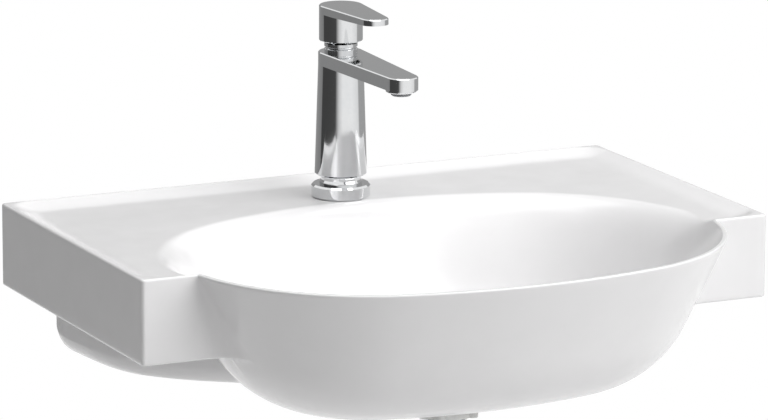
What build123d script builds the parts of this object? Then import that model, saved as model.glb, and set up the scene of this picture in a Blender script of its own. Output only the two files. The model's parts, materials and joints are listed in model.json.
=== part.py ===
"""Wall-hung washbasin with a broad shelf, a bowl that bulges out in front of it,
a single-lever mixer and a push-open waste.

Millimetres, +Z up, X along the wall, the front faces -Y.
The wall is the plane y = 0.
The origin lies on the wall, midway between the two wall bolts.
"""
from build123d import *
from math import asin, atan, cos, hypot, pi, sin, sqrt, tan
import os

os.makedirs("parts", exist_ok=True)

# Shelf of the basin
SHELF_WIDTH = 600.0
SHELF_DEPTH = 325.0
SHELF_HEIGHT = 75.0
TOP_HEIGHT = 85.0
DECK_DROP = 6.0
DECK_THICKNESS = 14.0
UPSTAND_LAND = 3.0
UPSTAND_SPREAD = 22.0
WALL = 9.0
BACK_WALL = 14.0
EDGE_ROUND = 2.0
GROOVE_HEIGHT = 4.0
GROOVE_DEPTH = 2.0

# Bowl: its plan is an oval of a front arc, two end arcs and a back arc
BOWL_BACK = 106.0
BACK_SAG = 14.75
FRONT_ARC_RADIUS = 500.0
END_ARC_RADIUS = 175.0
END_ARC_OFFSET = 77.0
RIM_THICKNESS = 5.0
RIM_ROUND = 1.2
BOWL_HEIGHT = 137.5
FLOOR_THICKNESS = 11.0
OUTER_LEAN = 0.461
INNER_LEAN = 0.485
OUTER_SWEEP_RADIUS = 102.0
INNER_SWEEP_RADIUS = 98.0
BLEND_RADIUS = 20.0
FRONT_UPSTAND = 14.0

# Skirt under the rear of the shelf
SKIRT_HALF_WIDTH = 248.0
SKIRT_BULGE = 10.0
SKIRT_DEPTH = 246.0
SKIRT_NOSE_SHARE = 0.45
SKIRT_SHOULDER_WIDTH_SHARE = 0.94
SKIRT_SHOULDER_DEPTH_SHARE = 0.61
SKIRT_HEIGHT = 133.0
SKIRT_WALL = 10.0
SKIRT_ROUND = 16.0
PIPE_GAP_WIDTH = 180.0
PIPE_GAP_TOP = 35.0

# Wall fixings
BOLT_SPACING = 280.0
BOLT_DIAMETER = 10.0
BOLT_NECK_DIAMETER = 8.9
BOLT_IN_WALL = 70.0
SLEEVE_WALL = 2.5
SLEEVE_SETBACK = 1.0
SLEEVE_FLANGE = 3.0
SLEEVE_FLANGE_WIDTH = 28.0
WASHER_THICKNESS = 2.0
WASHER_DIAMETER = 24.0
BOLT_NUT_FLATS = 17.0
BOLT_NUT_HEIGHT = 8.0
BOLT_END = 6.0

# Mixer: heights above the deck, on an axis through the tap hole
TAP_SETBACK = 74.0
TAP_HOLE_DIAMETER = 35.0
BASE_RING_DIAMETER = 53.4
BASE_RING_HEIGHT = 12.0
BASE_SEAL_SECTION = 3.0
COLLAR_DIAMETER = 38.8
COLLAR_HEIGHT = 8.3
COLLAR_GROOVE = 1.2
SPIGOT_DIAMETER = 33.6
SPIGOT_WALL = 3.0
BODY_FOOT_DIAMETER = 47.3
BODY_HEAD_DIAMETER = 41.0
BODY_HEIGHT = 101.0
SPOUT_THICKNESS = 11.9
SPOUT_REACH = 128.4
SPOUT_TIP_DIAMETER = 28.0
HOSE_CHAMBER_DIAMETER = 34.0
HOSE_CHAMBER_HEIGHT = 40.0
INLET_DIAMETER = 10.0
INLET_SPACING = 18.0
WATERWAY_DIAMETER = 6.0
CHROME_EDGE = 0.8

# Aerator under the spout's tip
AERATOR_SETBACK = 2.4
AERATOR_FLANGE_DIAMETER = 27.4
AERATOR_FLANGE_HEIGHT = 2.3
AERATOR_THREAD_DIAMETER = 21.0
AERATOR_THREAD_DEPTH = 7.0
NOZZLE_DIAMETER = 18.0
NOZZLE_PROUD = 3.2
NOZZLE_HOLE = 1.8
AERATOR_SEAL_THICKNESS = 1.5

# Cartridge and lever
CARTRIDGE_DIAMETER = 25.0
CARTRIDGE_HEIGHT = 24.0
PIVOT_RISE = 0.8
ROTOR_DIAMETER = 17.0
ROTOR_BELOW_PIVOT = 6.0
ROTOR_ABOVE_PIVOT = 5.0
STEM_WIDTH = 8.0
STEM_DEPTH = 7.0
STEM_LENGTH = 28.0
STEM_FOOT = 3.5
STEM_PIN_DIAMETER = 3.0
NECK_DIAMETER = 30.0
NECK_HEIGHT = 8.6
NECK_OPENING = 20.0
NECK_STEP = 2.6
NECK_GROOVE = 1.6
GLAND_PROUD = 3.0
LEVER_GAP = 9.9
LEVER_SKIRT_DIAMETER = 39.4
LEVER_HEIGHT = 32.5
LEVER_THICKNESS = 7.5
LEVER_TIP_THICKNESS = 5.2
LEVER_REACH = 71.0
LEVER_TIP_DIAMETER = 24.6
LEVER_SHELL = 2.5
HUB_DIAMETER = 15.0
HUB_RISE = 12.5
GRUB_RISE = 9.0
GRUB_DIAMETER = 5.0
GRUB_LENGTH = 8.0
GRUB_SOCKET_FLATS = 2.5
GRUB_SOCKET_DEPTH = 3.0
PLUG_DIAMETER = 7.0
PLUG_THICKNESS = 1.5
PLUG_SINK = 0.5

# Clamp that holds the mixer to the deck from below
STUD_DIAMETER = 8.0
STUD_SETBACK = 9.0
STUD_BELOW_DECK = 52.0
HORSESHOE_DIAMETER = 46.0
HORSESHOE_RUBBER = 3.0
HORSESHOE_PLATE = 2.5
STUD_NUT_FLATS = 13.0
STUD_NUT_HEIGHT = 14.0

# Push-open waste: it stands a little behind the centres of the bowl's end arcs
DRAIN_BEHIND = 7.75
DRAIN_HOLE_DIAMETER = 46.0
FLANGE_DIAMETER = 64.0
FLANGE_THICKNESS = 3.0
GASKET_THICKNESS = 1.0
TAIL_DIAMETER = 41.9
TAIL_WALL = 3.2
TAIL_LENGTH = 68.0
TAIL_RELIEF = 1.2
TAIL_RELIEF_WIDTH = 2.5
FLANGE_EDGE = 1.0
PLUG_CAP_DIAMETER = 58.0
PLUG_CAP_THICKNESS = 4.5
PLUG_CAP_EDGE = 1.0
PLUG_CAP_GAP = 0.6
PLUG_LAND = 1.0
PLUG_NECK_DIAMETER = 32.0
PLUG_NECK_HEIGHT = 6.0
O_RING_SECTION = 2.4
O_RING_PROUD = 0.7
PLUG_STEM_DIAMETER = 8.0
PLUG_STEM_LENGTH = 34.0
CLICK_DIAMETER = 16.0
CLICK_HEIGHT = 28.0
CLICK_DROP = 14.0
SPIDER_WIDTH = 3.0
SPIDER_HEIGHT = 6.0
SPIDER_HUB_WALL = 2.0
LOWER_GASKET_DIAMETER = 66.0
LOWER_GASKET_HEIGHT = 7.0
LOWER_GASKET_LAND = 2.0
LOWER_GASKET_TAPER = 4.0
FRICTION_RING = 1.5
BACK_NUT_DIAMETER = 62.0
BACK_NUT_HEIGHT = 10.0
BACK_NUT_LUG = 9.0

# Clearances
RUNNING = 0.05
LOOSE = 0.3
SLIP = 0.15

# Heights and places that follow from the sizes above
DECK = TOP_HEIGHT - DECK_DROP
DECK_UNDERSIDE = DECK - DECK_THICKNESS
SHELF_BOTTOM = TOP_HEIGHT - SHELF_HEIGHT
SKIRT_BOTTOM = TOP_HEIGHT - SKIRT_HEIGHT
BOWL_BOTTOM = TOP_HEIGHT - BOWL_HEIGHT
FLOOR = BOWL_BOTTOM + FLOOR_THICKNESS
TAP_Y = -TAP_SETBACK
COLLAR_FOOT = DECK + BASE_RING_HEIGHT
BODY_FOOT = COLLAR_FOOT + COLLAR_HEIGHT
SPOUT_UNDERSIDE = BODY_FOOT + BODY_HEIGHT
SPOUT_TOP = SPOUT_UNDERSIDE + SPOUT_THICKNESS
PIVOT = SPOUT_TOP + PIVOT_RISE
LEVER_FOOT = SPOUT_TOP + LEVER_GAP
LEVER_TOP = LEVER_FOOT + LEVER_HEIGHT
FAR = 2 * SHELF_WIDTH


def rod(diameter, low, high, x=0.0, y=0.0):
    """A round bar between two heights."""
    return Pos(x, y, (low + high) / 2) * Cylinder(diameter / 2, high - low)


def tube(outside, inside, low, high, x=0.0, y=0.0):
    """A round tube between two heights."""
    return rod(outside, low, high, x, y) - rod(inside, low - 1, high + 1, x, y)


def block(low, high):
    """A box from its lowest corner to its highest corner."""
    size = [b - a for a, b in zip(low, high)]
    middle = [(a + b) / 2 for a, b in zip(low, high)]
    return Pos(*middle) * Box(*size)


def turned(points, x=0.0, y=0.0):
    """A solid turned about a vertical axis from its half section of (radius, height) points."""
    outline = make_face(Polyline(*[(r, 0, z) for r, z in points], close=True))
    return Pos(x, y, 0) * revolve(outline, Axis.Z)


def hexagon(flats, low, high, x=0.0, y=0.0):
    """A hexagonal bar between two heights."""
    sketch = RegularPolygon(flats / sqrt(3), 6)
    return Pos(x, y, low) * extrude(sketch, high - low)


def along_y(diameter, near, far, x, z):
    """A round bar along Y, from y = near to y = far."""
    return Pos(x, (near + far) / 2, z) * Rot(90, 0, 0) * Cylinder(diameter / 2, abs(far - near))


# The oval of the bowl, from its back edge: BACK_SAG is the rise of its back arc above its end arcs
BACK_RISE = END_ARC_RADIUS + BACK_SAG
END_CENTRE = -BOWL_BACK - BACK_RISE
FRONT_CENTRE = END_CENTRE + sqrt((FRONT_ARC_RADIUS - END_ARC_RADIUS) ** 2 - END_ARC_OFFSET**2)
BACK_ARC_RADIUS = (END_ARC_OFFSET**2 + BACK_RISE**2 - END_ARC_RADIUS**2) / (2 * BACK_SAG)
BACK_CENTRE = -BOWL_BACK - BACK_ARC_RADIUS
DRAIN_Y = END_CENTRE + DRAIN_BEHIND


def oval(inset, height):
    """The bowl's outline, drawn in by an inset, as a face at a height."""
    front = FRONT_ARC_RADIUS - inset
    end = END_ARC_RADIUS - inset
    back = BACK_ARC_RADIUS - inset
    front_run = hypot(END_ARC_OFFSET, FRONT_CENTRE - END_CENTRE)
    back_run = hypot(END_ARC_OFFSET, END_CENTRE - BACK_CENTRE)
    front_joint = (front * END_ARC_OFFSET / front_run,
                   FRONT_CENTRE - front * (FRONT_CENTRE - END_CENTRE) / front_run)
    back_joint = (back * END_ARC_OFFSET / back_run,
                  BACK_CENTRE + back * (END_CENTRE - BACK_CENTRE) / back_run)
    right = ThreePointArc(front_joint, (END_ARC_OFFSET + end, END_CENTRE), back_joint)
    top = ThreePointArc(back_joint, (0, BACK_CENTRE + back), (-back_joint[0], back_joint[1]))
    left = ThreePointArc((-back_joint[0], back_joint[1]), (-END_ARC_OFFSET - end, END_CENTRE),
                         (-front_joint[0], front_joint[1]))
    bottom = ThreePointArc((-front_joint[0], front_joint[1]), (0, FRONT_CENTRE - front), front_joint)
    return Pos(0, 0, height) * make_face([right, top, left, bottom])


def bowl_stations(lean, rim, height, radius):
    """Insets and heights down a bowl wall: a leaning line, then an arc that sweeps into the floor."""
    slope = atan(lean)
    corner = rim + lean * height
    run = radius * tan((pi / 2 - slope) / 2)
    line_end = height - run * cos(slope)
    arc_centre = corner + run
    stations = [(rim + lean * line_end * k / 2, -line_end * k / 2) for k in range(3)]
    for k in range(1, 6):
        turn = slope + (pi / 2 - slope) * k / 5
        stations.append((arc_centre - radius * cos(turn), -(height - radius) - radius * sin(turn)))
    return stations


def bowl_outer():
    """The bowl as a full block, from its rim to its flat underside."""
    stations = bowl_stations(OUTER_LEAN, 0, BOWL_HEIGHT, OUTER_SWEEP_RADIUS)
    body = loft([oval(inset, TOP_HEIGHT + z) for inset, z in stations])
    rim = body.faces().sort_by(Axis.Z)[-1].edges()
    return fillet(rim, RIM_ROUND)


def bowl_inner():
    """The space inside the bowl, from the rim to the floor."""
    height = BOWL_HEIGHT - FLOOR_THICKNESS
    stations = bowl_stations(INNER_LEAN, RIM_THICKNESS, height, INNER_SWEEP_RADIUS)
    space = loft([oval(inset, TOP_HEIGHT + z) for inset, z in stations])
    return space + extrude(oval(RIM_THICKNESS, TOP_HEIGHT), SHELF_HEIGHT)


def deck_blend():
    """The soft mouth of the bowl where the deck rolls over into its wall."""
    slope = atan(INNER_LEAN)
    reach = BLEND_RADIUS * tan((pi / 2 - slope) / 2)
    corner = RIM_THICKNESS + INNER_LEAN * DECK_DROP
    faces = []
    for k in range(5):
        turn = (pi / 2 - slope) * (0.25 + 0.75 * k / 4)
        inset = corner - reach + BLEND_RADIUS * sin(turn)
        faces.append(oval(inset, DECK - BLEND_RADIUS * (1 - cos(turn))))
    first = (pi / 2 - slope) * 0.25
    lip = corner - reach + BLEND_RADIUS * sin(first) - 2 * BLEND_RADIUS * (1 - cos(first)) / tan(first)
    mouth = loft([oval(lip, DECK + BLEND_RADIUS * (1 - cos(first))), faces[0]], ruled=True)
    return mouth + loft(faces)


def deck_recess():
    """The dished top of the shelf, with a soft upstand along its edges."""
    sections = []
    for k in range(5):
        share = k / 4
        edge = UPSTAND_LAND + UPSTAND_SPREAD * share
        front_edge = UPSTAND_LAND + (FRONT_UPSTAND - UPSTAND_LAND) * share
        width = SHELF_WIDTH - 2 * edge
        depth = SHELF_DEPTH - edge - front_edge
        sketch = RectangleRounded(width, depth, 4 + edge / 2)
        rise = DECK_DROP * (1 - share) ** 2
        sections.append(Pos(0, -edge - depth / 2, DECK + rise) * sketch)
    return loft(sections)


def skirt_plan(inset):
    """Plan of the skirt: it leaves the wall, bulges a little and rounds in towards the bowl."""
    side = SKIRT_HALF_WIDTH - inset
    nose = (SKIRT_NOSE_SHARE * side, -SKIRT_DEPTH + inset)
    shoulder = (SKIRT_SHOULDER_WIDTH_SHARE * side, -SKIRT_SHOULDER_DEPTH_SHARE * SKIRT_DEPTH)
    points = [(side, 0), (side + SKIRT_BULGE, -SKIRT_DEPTH / 5), shoulder, nose]
    right = Spline(*points, tangents=[(0.3, -1), (-1, -0.45)])
    left = Spline(*[(-x, y) for x, y in points], tangents=[(-0.3, -1), (1, -0.45)])
    front = ThreePointArc(nose, (0, nose[1] - SKIRT_BULGE), (-nose[0], nose[1]))
    return make_face([right, left, front, Line((side, 0), (-side, 0))])


def skirt(inset):
    """The skirt as a block, from the deck's underside to its lower edge."""
    height = DECK_UNDERSIDE - SKIRT_BOTTOM
    return Pos(0, 0, SKIRT_BOTTOM) * extrude(skirt_plan(inset), height)


def underside_space(outer_bowl):
    """The hollow under the deck, around the outside of the bowl."""
    shelf = block((-SHELF_WIDTH / 2 + WALL, -SHELF_DEPTH + WALL, SHELF_BOTTOM - 1),
                  (SHELF_WIDTH / 2 - WALL, -BACK_WALL, DECK_UNDERSIDE))
    within_skirt = skirt(SKIRT_WALL) - block((-FAR, -BACK_WALL, -FAR), (FAR, FAR, FAR))
    within_skirt += Pos(0, 0, -SKIRT_ROUND) * within_skirt
    wing = shelf - skirt(0)
    return (wing + within_skirt) - outer_bowl


def basin_body():
    """The ceramic: shelf, bowl and skirt in one piece, hollow from below."""
    shelf = block((-SHELF_WIDTH / 2, -SHELF_DEPTH, SHELF_BOTTOM), (SHELF_WIDTH / 2, 0, TOP_HEIGHT))
    shelf = fillet(shelf.edges(), EDGE_ROUND)
    outer_bowl = bowl_outer()
    rear = skirt(0)
    lower_edges = rear.faces().sort_by(Axis.Z)[0].edges().filter_by(lambda e: e.center().Y < -1)
    rear = fillet(lower_edges, SKIRT_ROUND)
    body = shelf + outer_bowl + rear
    body -= underside_space(outer_bowl)
    body -= bowl_inner()
    body -= deck_recess()
    shelf_only = block((-FAR, -SHELF_DEPTH + FRONT_UPSTAND, -FAR), (FAR, FAR, FAR))
    body -= deck_blend() & shelf_only
    body -= rod(TAP_HOLE_DIAMETER, DECK_UNDERSIDE - 1, DECK + 1, 0, TAP_Y)
    body -= rod(DRAIN_HOLE_DIAMETER, BOWL_BOTTOM - 1, FLOOR + 1, 0, DRAIN_Y)
    body -= rod(FLANGE_DIAMETER + 2 * LOOSE, FLOOR, CAP_LOW + PLUG_CAP_THICKNESS, 0, DRAIN_Y)
    half_gap = PIPE_GAP_WIDTH / 2
    body -= block((-half_gap, -BACK_WALL - 1, SKIRT_BOTTOM - 1), (half_gap, 1, PIPE_GAP_TOP))
    body -= block((-FAR, -GROOVE_DEPTH, SHELF_BOTTOM), (FAR, 1, SHELF_BOTTOM + GROOVE_HEIGHT))
    hole = BOLT_DIAMETER + 2 * SLEEVE_WALL + 2 * SLIP
    for side in (-1, 1):
        body -= along_y(hole, -BACK_WALL - 1, 1, side * BOLT_SPACING / 2, 0)
    return body


def both_bolts(make):
    """One wall fixing made at each of the two bolt places."""
    return Compound([make(side * BOLT_SPACING / 2) for side in (-1, 1)])


NUT_FACE = -BACK_WALL - SLEEVE_FLANGE - WASHER_THICKNESS


def wall_bolt(x):
    """A hanger bolt: coarse end in the wall, plain neck through the ceramic, fine end for the nut."""
    bolt = along_y(BOLT_DIAMETER, NUT_FACE - BOLT_NUT_HEIGHT - BOLT_END, BOLT_IN_WALL, x, 0)
    bolt = chamfer(bolt.edges().filter_by(GeomType.CIRCLE), BOLT_DIAMETER / 8)
    neck = along_y(BOLT_DIAMETER + 1, -BACK_WALL, -SLEEVE_SETBACK, x, 0)
    return bolt - (neck - along_y(BOLT_NECK_DIAMETER, -FAR, FAR, x, 0))


def wall_sleeve(x):
    """A plastic sleeve that keeps the bolt off the ceramic."""
    sleeve = along_y(BOLT_DIAMETER + 2 * SLEEVE_WALL, -BACK_WALL, -SLEEVE_SETBACK, x, 0)
    sleeve += along_y(SLEEVE_FLANGE_WIDTH, -BACK_WALL - SLEEVE_FLANGE, -BACK_WALL, x, 0)
    return sleeve - along_y(BOLT_DIAMETER + 2 * RUNNING, -FAR, FAR, x, 0)


def wall_washer(x):
    """A flat washer under the nut."""
    face = -BACK_WALL - SLEEVE_FLANGE
    disc = along_y(WASHER_DIAMETER, face - WASHER_THICKNESS, face, x, 0)
    return disc - along_y(BOLT_DIAMETER + 2 * SLIP, -FAR, FAR, x, 0)


def wall_nut(x):
    """A hexagon nut on the bolt."""
    nut = hexagon(BOLT_NUT_FLATS, 0, BOLT_NUT_HEIGHT)
    nut -= rod(BOLT_DIAMETER + 2 * RUNNING, -1, BOLT_NUT_HEIGHT + 1)
    return Pos(x, NUT_FACE, 0) * Rot(90, 0, 0) * nut


def tap_base_ring():
    """The chrome ring that stands on the deck, grooved below for its seal."""
    radius = BASE_RING_DIAMETER / 2
    bore = SPIGOT_DIAMETER / 2 + SLIP
    low = DECK + LOOSE
    high = COLLAR_FOOT
    outline = [(bore, low), (radius - CHROME_EDGE, low), (radius, low + CHROME_EDGE),
               (radius, high - 2 * CHROME_EDGE), (radius - 2 * CHROME_EDGE, high), (bore, high)]
    return turned(outline, 0, TAP_Y) - base_seal_groove()


def base_seal_groove():
    """The square groove that holds the base seal."""
    middle = (BASE_RING_DIAMETER + TAP_HOLE_DIAMETER) / 2
    high = DECK + BASE_SEAL_SECTION
    return tube(middle + BASE_SEAL_SECTION, middle - BASE_SEAL_SECTION, DECK, high, 0, TAP_Y)


def tap_base_seal():
    """The rubber ring between the base ring and the ceramic."""
    return base_seal_groove()


def tap_collar():
    """The turned collar between base ring and column, with its spigot through the deck."""
    radius = COLLAR_DIAMETER / 2
    spigot = SPIGOT_DIAMETER / 2
    bore = spigot - SPIGOT_WALL
    low = COLLAR_FOOT
    high = BODY_FOOT
    step = COLLAR_HEIGHT / 4
    foot = DECK_UNDERSIDE + 2
    outline = [(bore, foot), (spigot, foot), (spigot, low), (radius, low), (radius, low + step),
               (radius - COLLAR_GROOVE, low + 2 * step), (radius - COLLAR_GROOVE, low + 3 * step),
               (radius - COLLAR_GROOVE / 2, high), (bore, high)]
    return turned(outline, 0, TAP_Y)


def teardrop(root, tip, reach):
    """A plan of two circles, one on the tap's axis and one in front, joined by tangent lines."""
    lean = (root - tip) / (2 * reach)
    across = sqrt(1 - lean**2)
    start = (root / 2 * across, -root / 2 * lean)
    end = (tip / 2 * across, -reach - tip / 2 * lean)
    outline = [Line(start, end),
               ThreePointArc(end, (0, -reach - tip / 2), (-end[0], end[1])),
               Line((-end[0], end[1]), (-start[0], start[1])),
               ThreePointArc((-start[0], start[1]), (0, root / 2), start)]
    return Pos(0, TAP_Y, 0) * make_face(outline)


AERATOR_Y = TAP_Y - SPOUT_REACH + AERATOR_SETBACK
CARTRIDGE_TOP = PIVOT - ROTOR_BELOW_PIVOT
CARTRIDGE_FOOT = CARTRIDGE_TOP - CARTRIDGE_HEIGHT
WATERWAY = SPOUT_UNDERSIDE + SPOUT_THICKNESS / 2 + 1.0


def tap_body():
    """Column and spout in one casting, bored for the cartridge, the hoses and the water."""
    foot = BODY_FOOT_DIAMETER / 2
    head = BODY_HEAD_DIAMETER / 2
    edge = 2 * CHROME_EDGE
    column = turned([(0, BODY_FOOT), (foot - edge, BODY_FOOT), (foot, BODY_FOOT + edge),
                     (head, SPOUT_UNDERSIDE), (0, SPOUT_UNDERSIDE)], 0, TAP_Y)
    spout = extrude(teardrop(BODY_HEAD_DIAMETER, SPOUT_TIP_DIAMETER, SPOUT_REACH), SPOUT_THICKNESS)
    spout = Pos(0, 0, SPOUT_UNDERSIDE) * spout
    rims = spout.faces().sort_by(Axis.Z)[-1].edges()
    spout = chamfer(rims, CHROME_EDGE)
    body = column + spout
    body -= rod(CARTRIDGE_DIAMETER + 2 * SLIP, CARTRIDGE_FOOT, SPOUT_TOP + 1, 0, TAP_Y)
    body -= rod(HOSE_CHAMBER_DIAMETER, BODY_FOOT - 1, BODY_FOOT + HOSE_CHAMBER_HEIGHT, 0, TAP_Y)
    for side in (-1, 1):
        body -= rod(INLET_DIAMETER, BODY_FOOT, CARTRIDGE_FOOT, side * INLET_SPACING / 2, TAP_Y)
    body -= along_y(WATERWAY_DIAMETER, AERATOR_Y, TAP_Y, 0, WATERWAY)
    thread_top = SPOUT_UNDERSIDE + AERATOR_THREAD_DEPTH + SLIP
    body -= rod(AERATOR_THREAD_DIAMETER, SPOUT_UNDERSIDE - 1, thread_top, 0, AERATOR_Y)
    body -= rod(STUD_DIAMETER, BODY_FOOT, STUD_TOP + SLIP, 0, TAP_Y + STUD_SETBACK)
    return body


STUD_TOP = BODY_FOOT + HOSE_CHAMBER_HEIGHT + 2 * STUD_DIAMETER


def aerator_housing():
    """The chrome ring screwed into the spout's underside."""
    low = SPOUT_UNDERSIDE - AERATOR_FLANGE_HEIGHT
    seat = SPOUT_UNDERSIDE + AERATOR_THREAD_DEPTH - AERATOR_SEAL_THICKNESS
    ring = rod(AERATOR_FLANGE_DIAMETER, low, SPOUT_UNDERSIDE, 0, AERATOR_Y)
    ring = chamfer(ring.faces().sort_by(Axis.Z)[0].edges(), CHROME_EDGE)
    ring += rod(AERATOR_THREAD_DIAMETER, SPOUT_UNDERSIDE, seat, 0, AERATOR_Y)
    return ring - rod(NOZZLE_DIAMETER, low - 1, seat + 1, 0, AERATOR_Y)


def aerator_seal():
    """The flat rubber washer above the aerator."""
    seat = SPOUT_UNDERSIDE + AERATOR_THREAD_DEPTH - AERATOR_SEAL_THICKNESS
    bore = NOZZLE_DIAMETER - 4 * AERATOR_SEAL_THICKNESS
    return tube(AERATOR_THREAD_DIAMETER, bore, seat, seat + AERATOR_SEAL_THICKNESS, 0, AERATOR_Y)


def aerator_nozzle():
    """The plastic insert that breaks the water into a soft stream."""
    low = SPOUT_UNDERSIDE - AERATOR_FLANGE_HEIGHT - NOZZLE_PROUD
    seat = SPOUT_UNDERSIDE + AERATOR_THREAD_DEPTH - AERATOR_SEAL_THICKNESS
    body = rod(NOZZLE_DIAMETER, low, seat, 0, AERATOR_Y)
    body = chamfer(body.faces().sort_by(Axis.Z)[0].edges(), CHROME_EDGE)
    for ring, count in ((2.9, 6), (5.8, 12)):
        for hole in PolarLocations(ring, count):
            place = hole.position
            body -= rod(NOZZLE_HOLE, low - 1, seat + 1, place.X, AERATOR_Y + place.Y)
    return body


def cartridge():
    """The ceramic-disc cartridge, dropped into the column from above."""
    shell = rod(CARTRIDGE_DIAMETER, CARTRIDGE_FOOT, CARTRIDGE_TOP, 0, TAP_Y)
    shell -= rod(ROTOR_DIAMETER / 2, CARTRIDGE_TOP - 2, CARTRIDGE_TOP + 1, 0, TAP_Y)
    return chamfer(shell.edges().group_by(Axis.Z)[0], CHROME_EDGE)


def gland_nut():
    """The brass ring nut that holds the cartridge down."""
    bore = ROTOR_DIAMETER + 2 * LOOSE
    return tube(CARTRIDGE_DIAMETER, bore, CARTRIDGE_TOP, SPOUT_TOP + GLAND_PROUD, 0, TAP_Y)


def neck_cap():
    """The stepped chrome cap over the gland nut, seen below the lever."""
    radius = NECK_DIAMETER / 2
    waist = radius - NECK_GROOVE
    slope = NECK_GROOVE / 2
    nut = CARTRIDGE_DIAMETER / 2 + SLIP
    low = SPOUT_TOP
    high = low + NECK_HEIGHT
    nut_top = low + GLAND_PROUD + SLIP
    step = low + NECK_STEP
    outline = [(nut, low), (radius, low), (radius, step), (waist, step + slope),
               (waist, step + 2 * slope), (radius, step + 3 * slope), (radius, high - slope),
               (radius - slope, high), (NECK_OPENING / 2, high), (NECK_OPENING / 2, nut_top), (nut, nut_top)]
    return turned(outline, 0, TAP_Y)


def cartridge_rotor():
    """The turning fork that carries the stem on its pin."""
    low = CARTRIDGE_TOP + LOOSE
    high = PIVOT + ROTOR_ABOVE_PIVOT
    fork = rod(ROTOR_DIAMETER, low, high, 0, TAP_Y)
    half = STEM_WIDTH / 2 + LOOSE
    fork -= block((-half, TAP_Y - ROTOR_DIAMETER, PIVOT - STEM_FOOT - 1),
                  (half, TAP_Y + ROTOR_DIAMETER, high + 1))
    return fork - cross_pin(STEM_PIN_DIAMETER, ROTOR_DIAMETER)


def cross_pin(diameter, length):
    """A round bar along X through the pivot."""
    return Pos(0, TAP_Y, PIVOT) * Rot(0, 90, 0) * Cylinder(diameter / 2, length)


def stem_pin():
    """The hinge pin of the stem, held in the fork."""
    return cross_pin(STEM_PIN_DIAMETER, ROTOR_DIAMETER - 2)


def cartridge_stem():
    """The square steel stem that the lever moves."""
    low = PIVOT - STEM_FOOT
    stem = block((-STEM_WIDTH / 2, TAP_Y - STEM_DEPTH / 2, low),
                 (STEM_WIDTH / 2, TAP_Y + STEM_DEPTH / 2, PIVOT + STEM_LENGTH))
    foot_edges = stem.edges().filter_by(Axis.X).group_by(Axis.Z)[0]
    stem = fillet(foot_edges, STEM_DEPTH / 2 - 0.2)
    return stem - cross_pin(STEM_PIN_DIAMETER + 2 * RUNNING, 2 * STEM_WIDTH)


SCREW_HEIGHT = PIVOT + HUB_RISE + GRUB_RISE
LEVER_BACK = TAP_Y + LEVER_SKIRT_DIAMETER / 2
PLUG_SEAT = LEVER_BACK - PLUG_THICKNESS - PLUG_SINK


def lever_slab():
    """The flat teardrop of the lever, thinned from below towards its tip."""
    low = LEVER_TOP - LEVER_THICKNESS
    plan = teardrop(LEVER_SKIRT_DIAMETER, LEVER_TIP_DIAMETER, LEVER_REACH)
    slab = Pos(0, 0, low) * extrude(plan, LEVER_THICKNESS)
    thin = low + LEVER_THICKNESS - LEVER_TIP_THICKNESS
    start = TAP_Y - LEVER_SKIRT_DIAMETER / 2
    end = TAP_Y - LEVER_REACH - LEVER_TIP_DIAMETER
    side = make_face(Polyline((0, start, low), (0, end, thin), (0, end, low), close=True))
    wedge = extrude(side, 2 * LEVER_SKIRT_DIAMETER, dir=(1, 0, 0))
    slab -= Pos(-LEVER_SKIRT_DIAMETER, 0, 0) * wedge
    return chamfer(slab.faces().sort_by(Axis.Z)[-1].edges(), CHROME_EDGE)


def lever_handle():
    """The lever: a hollow skirt under a flat teardrop slab, with a hub for the stem."""
    slab_low = LEVER_TOP - LEVER_THICKNESS
    shell = rod(LEVER_SKIRT_DIAMETER, LEVER_FOOT, slab_low + 1, 0, TAP_Y)
    shell = chamfer(shell.faces().sort_by(Axis.Z)[0].edges(), CHROME_EDGE)
    ceiling = slab_low - LEVER_SHELL
    shell -= rod(LEVER_SKIRT_DIAMETER - 2 * LEVER_SHELL, LEVER_FOOT - 1, ceiling, 0, TAP_Y)
    handle = lever_slab() + shell + rod(HUB_DIAMETER, PIVOT + HUB_RISE, slab_low, 0, TAP_Y)
    rib = HUB_DIAMETER / 3
    handle += block((-rib, TAP_Y, SCREW_HEIGHT - GRUB_DIAMETER), (rib, LEVER_BACK - 1, slab_low))
    socket_top = PIVOT + STEM_LENGTH + LOOSE
    handle -= block((-STEM_WIDTH / 2 - RUNNING, TAP_Y - STEM_DEPTH / 2 - RUNNING, PIVOT),
                    (STEM_WIDTH / 2 + RUNNING, TAP_Y + STEM_DEPTH / 2 + RUNNING, socket_top))
    handle -= along_y(GRUB_DIAMETER, TAP_Y, LEVER_BACK + 1, 0, SCREW_HEIGHT)
    return handle - along_y(PLUG_DIAMETER, PLUG_SEAT, LEVER_BACK + 1, 0, SCREW_HEIGHT)


def grub_screw():
    """The screw that clamps the lever on its stem."""
    tip = TAP_Y + STEM_DEPTH / 2
    screw = along_y(GRUB_DIAMETER, tip, tip + GRUB_LENGTH, 0, SCREW_HEIGHT)
    socket = hexagon(GRUB_SOCKET_FLATS, -1, GRUB_SOCKET_DEPTH)
    return screw - Pos(0, tip + GRUB_LENGTH, SCREW_HEIGHT) * Rot(90, 0, 0) * socket


def index_plug():
    """The plain cap that hides the grub screw, at the back of the lever."""
    disc = along_y(PLUG_DIAMETER, PLUG_SEAT, PLUG_SEAT + PLUG_THICKNESS, 0, SCREW_HEIGHT)
    return chamfer(disc.faces().sort_by(Axis.Y)[-1].edges(), PLUG_THICKNESS / 4)


def tap_stud():
    """The threaded rod that pulls the mixer down on the deck."""
    stud = rod(STUD_DIAMETER, DECK_UNDERSIDE - STUD_BELOW_DECK, STUD_TOP, 0, TAP_Y + STUD_SETBACK)
    return chamfer(stud.edges().filter_by(GeomType.CIRCLE), STUD_DIAMETER / 8)


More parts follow.
